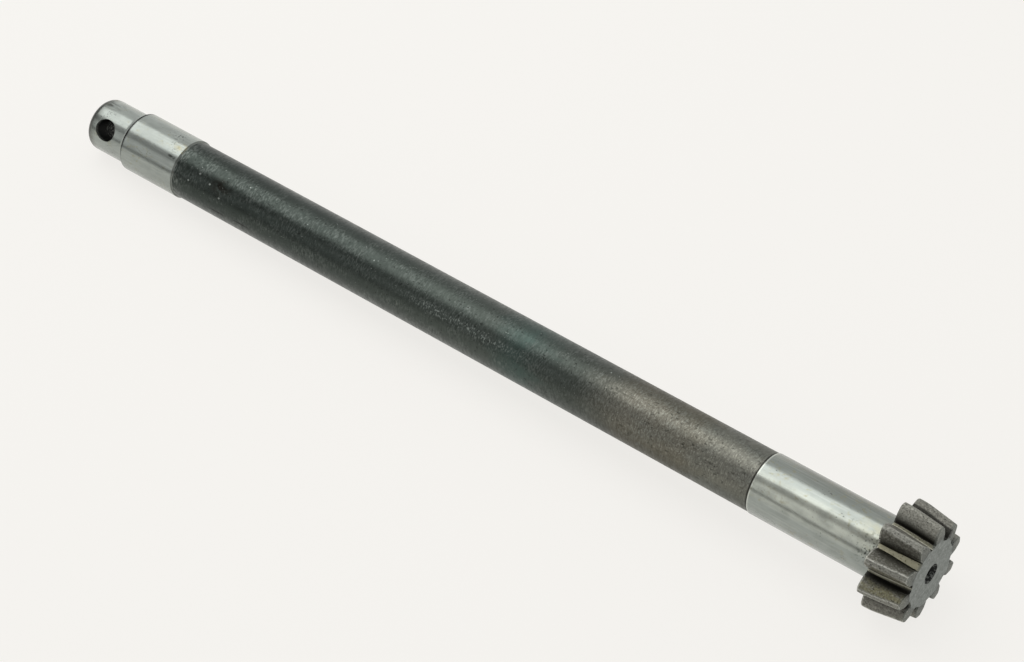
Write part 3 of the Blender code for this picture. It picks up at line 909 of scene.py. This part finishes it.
def faced_steel(finish):
    """The head's end, faced flat on a lathe and gone dull: even blue-grey with a fine spiral."""
    tree, place = start_material("faced_steel")
    reach = off_axis(tree, place)
    turned = node(tree, "ShaderNodeMath", {
        0: reach, 1: math.tau / FACING_PITCH}, operation="MULTIPLY").outputs[0]
    spiral = node(tree, "ShaderNodeMath", {0: turned}, operation="SINE").outputs[0]
    clouds = grain(tree, place, 4.0, 4.0, 0.4, 0.7, 4.0)
    specks = grain(tree, place, 1.6, 1.6, 0.5, 0.68, 3.0)
    pits = grain(tree, place, 1.2, 1.2, 0.64, 0.7)
    rim = node(tree, "ShaderNodeMapRange", {0: reach, 1: FACE_RIM[0], 2: FACE_RIM[1]}).outputs[0]
    colour = layered(tree, finish.faced, [
        (together(tree, clouds, 0.85), "#626863"),
        (together(tree, specks, 0.6), "#9ca19c"),
        (together(tree, rim, grain(tree, place, 5.0, 5.0, 0.38, 0.5), 0.8), "#3b3e39"),
        (together(tree, pits, 0.6), "#3c3e3b"),
    ])
    steel(tree, colour, 0.5, [(spiral, 0.002 * MM), (clouds, 0.03 * MM)], metallic=0.7)


def bore_steel(finish):
    """Drilled walls with old oil and rust: near black, with rough pale crumbs, and lighter towards the
    mouth, a painted highlight of the lit wall.
    """
    tree, place = start_material("bore_steel")
    reach = off_axis(tree, place)
    # The wall grows lighter towards the mouth: painted light on the lit wall
    mouth = node(tree, "ShaderNodeMapRange", {0: reach, 1: 13.0, 2: 15.2}).outputs[0]
    dry = node(tree, "ShaderNodeMapRange", {0: reach, 1: 8.0, 2: 6.0}).outputs[0]
    crumbs = together(tree, dry, grain(tree, place, 1.3, 1.3, 0.5, 0.6, 4.0))
    colour = layered(tree, finish.bore, [
        (together(tree, crumbs, 0.6), "#858883"),
        (together(tree, mouth, 0.9), "#7b7e79"),
    ])
    steel(tree, colour, 0.5, [(crumbs, 0.08 * MM)], metallic=0.7)


FINISHES = {
    "ground": ("ground_steel", ground_steel),
    "scale": ("scaled_steel", scaled_steel),
    "oxide": ("oxidised_teeth", oxidised_teeth),
    "faced": ("faced_steel", faced_steel),
    "bore": ("bore_steel", bore_steel),
}


class SHAFT_OT_model(bpy.types.Operator):
    """Model the splined shaft and lay it where its CAD model lies"""

    bl_idname = "shaft.model"
    bl_label = "Shaft"

    def execute(self, context):
        sizes = context.scene.shaft_sizes
        shaft = model_shaft(sizes)
        drill_cross_hole(shaft, sizes)
        shaft.matrix_world = shaft_placement()
        bpy.ops.object.select_all(action="DESELECT")
        shaft.select_set(True)
        context.view_layer.objects.active = shaft
        bpy.ops.object.transform_apply(location=True, rotation=True, scale=True)
        bpy.ops.object.shade_smooth_by_angle(angle=SMOOTH_ANGLE)
        mark_wear(shaft, sizes)
        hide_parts(NODE)
        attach(shaft, BODY)
        return {"FINISHED"}


class SHAFT_OT_finish(bpy.types.Operator):
    """Give each part of the shaft its steel"""

    bl_idname = "shaft.finish"
    bl_label = "Finishes"

    def execute(self, context):
        sizes = context.scene.shaft_sizes
        shaft = bpy.data.objects["shaft"]
        shaft.data.materials.clear()
        for name, make in FINISHES.values():
            make(context.scene.shaft_finish)
            shaft.data.materials.append(bpy.data.materials[name])
        upright = shaft_placement().inverted()
        order = list(FINISHES)
        for face in shaft.data.polygons:
            face.material_index = order.index(finish_of(sizes, upright @ face.center))
        return {"FINISHED"}


class SHAFT_OT_studio(bpy.types.Operator):
    """Lay the floor, hang the lamp and place the camera"""

    bl_idname = "shaft.studio"
    bl_label = "Studio"

    def execute(self, context):
        studio = context.scene.shaft_studio
        bpy.ops.object.select_all(action="DESELECT")
        bpy.ops.mesh.primitive_plane_add(size=FLOOR_SIZE)
        floor = context.object
        floor.name = "floor"
        floor.data.materials.append(floor_paper(studio))
        bpy.ops.object.light_add(type="AREA", location=LAMP_PLACE)
        lamp = context.object.data
        lamp.shape = "RECTANGLE"
        lamp.size, lamp.size_y = LAMP_SIZE
        lamp.energy = studio.lamp_power
        context.scene.world = surroundings(studio)
        bpy.ops.object.camera_add()
        stand = context.object
        turn = Matrix.Rotation(studio.azimuth, 4, "Z") @ Matrix.Rotation(
            math.pi / 2.0 - studio.elevation, 4, "X") @ Matrix.Rotation(studio.roll, 4, "Z")
        stand.matrix_world = Matrix.Translation(studio.aim) @ turn @ Matrix.Translation(
            (0.0, 0.0, studio.distance))
        stand.data.lens = studio.focal_length
        stand.data.sensor_width = SENSOR_WIDTH
        context.scene.camera = stand
        context.scene.view_settings.view_transform = "Standard"
        return {"FINISHED"}


def floor_paper(studio):
    """Pale matt paper, which shows its own colour and a trace of the shaft's shadow."""
    material = bpy.data.materials.new("floor_paper")
    material.use_nodes = True
    tree = material.node_tree
    tree.nodes.clear()
    colour = (*studio.paper, 1.0)
    paper = node(tree, "ShaderNodeBsdfPrincipled", {"Base Color": colour, "Roughness": 0.9})
    plain = node(tree, "ShaderNodeEmission", {"Color": colour, "Strength": 1.0})
    path = node(tree, "ShaderNodeLightPath")
    seen = path.outputs["Is Camera Ray"]
    for other in ("Is Glossy Ray", "Is Transmission Ray"):
        seen = node(tree, "ShaderNodeMath", {
            0: seen, 1: path.outputs[other]}, operation="MAXIMUM").outputs[0]
    share = node(tree, "ShaderNodeMath", {0: seen, 1: PLAIN_PAPER}, operation="MULTIPLY").outputs[0]
    mixed = node(tree, "ShaderNodeMixShader", {0: share, 1: paper.outputs[0], 2: plain.outputs[0]})
    node(tree, "ShaderNodeOutputMaterial", {"Surface": mixed.outputs[0]})
    return material


def surroundings(studio):
    """Even light all round, with dark gaps between the screens that bright steel shows as thin lines."""
    world = bpy.data.worlds.new("studio")
    world.use_nodes = True
    tree = world.node_tree
    tree.nodes.clear()
    direction = node(tree, "ShaderNodeTexCoord").outputs["Generated"]
    split = node(tree, "ShaderNodeSeparateXYZ", {0: direction})
    near = node(tree, "ShaderNodeMath", {0: split.outputs[1], 1: -1.0}, operation="MULTIPLY").outputs[0]
    turn = node(tree, "ShaderNodeMath", {0: split.outputs[2], 1: near}, operation="ARCTAN2").outputs[0]
    height = node(tree, "ShaderNodeMapRange", {0: turn, 1: 0.0, 2: math.pi}).outputs[0]
    screens = node(tree, "ShaderNodeValToRGB", {0: height}, stops=[
        (degrees / 180.0, (level, level, level, 1.0)) for degrees, level in SCREENS])
    # Past the shaft's ends there are no screens, only a darker room above the paper's far edge
    along = node(tree, "ShaderNodeMath", {0: split.outputs[0]}, operation="ABSOLUTE").outputs[0]
    fade = node(tree, "ShaderNodeMapRange", {0: along, 1: 0.75, 2: 0.95}).outputs[0]
    room = node(tree, "ShaderNodeMapRange", {
        0: split.outputs[2], 1: 0.1, 2: 0.25, 3: 1.0, 4: 0.3}).outputs[0]
    light = node(tree, "ShaderNodeMix", {
        0: fade, 6: screens.outputs[0], 7: room}, data_type="RGBA").outputs[2]
    background = node(tree, "ShaderNodeBackground", {"Color": light, "Strength": studio.surround})
    node(tree, "ShaderNodeOutputWorld", {"Surface": background.outputs[0]})
    return world


class SHAFT_PT_panel(bpy.types.Panel):
    """Sizes, finishes and studio of the splined shaft"""

    bl_label = "Splined shaft"
    bl_idname = "SHAFT_PT_panel"
    bl_space_type = "VIEW_3D"
    bl_region_type = "UI"
    bl_category = "Splined shaft"

    def draw(self, context):
        for group, action in (
            (context.scene.shaft_sizes, "shaft.model"),
            (context.scene.shaft_finish, "shaft.finish"),
            (context.scene.shaft_studio, "shaft.studio"),
        ):
            box = self.layout.box()
            for name in group.__annotations__:
                box.prop(group, name)
            box.operator(action)


CLASSES = (
    ShaftSizes, ShaftFinish, ShaftStudio, SHAFT_OT_model, SHAFT_OT_finish, SHAFT_OT_studio, SHAFT_PT_panel,
)


def register():
    """Add the shaft's classes and settings to Blender."""
    for each in CLASSES:
        bpy.utils.register_class(each)
    bpy.types.Scene.shaft_sizes = PointerProperty(type=ShaftSizes)
    bpy.types.Scene.shaft_finish = PointerProperty(type=ShaftFinish)
    bpy.types.Scene.shaft_studio = PointerProperty(type=ShaftStudio)


def unregister():
    """Take them out again."""
    del bpy.types.Scene.shaft_studio
    del bpy.types.Scene.shaft_finish
    del bpy.types.Scene.shaft_sizes
    for each in reversed(CLASSES):
        bpy.utils.unregister_class(each)


def main():
    """Make the shaft and the studio."""
    register()
    bpy.ops.shaft.model()
    bpy.ops.shaft.finish()
    bpy.ops.shaft.studio()


if __name__ == "__main__":
    main()
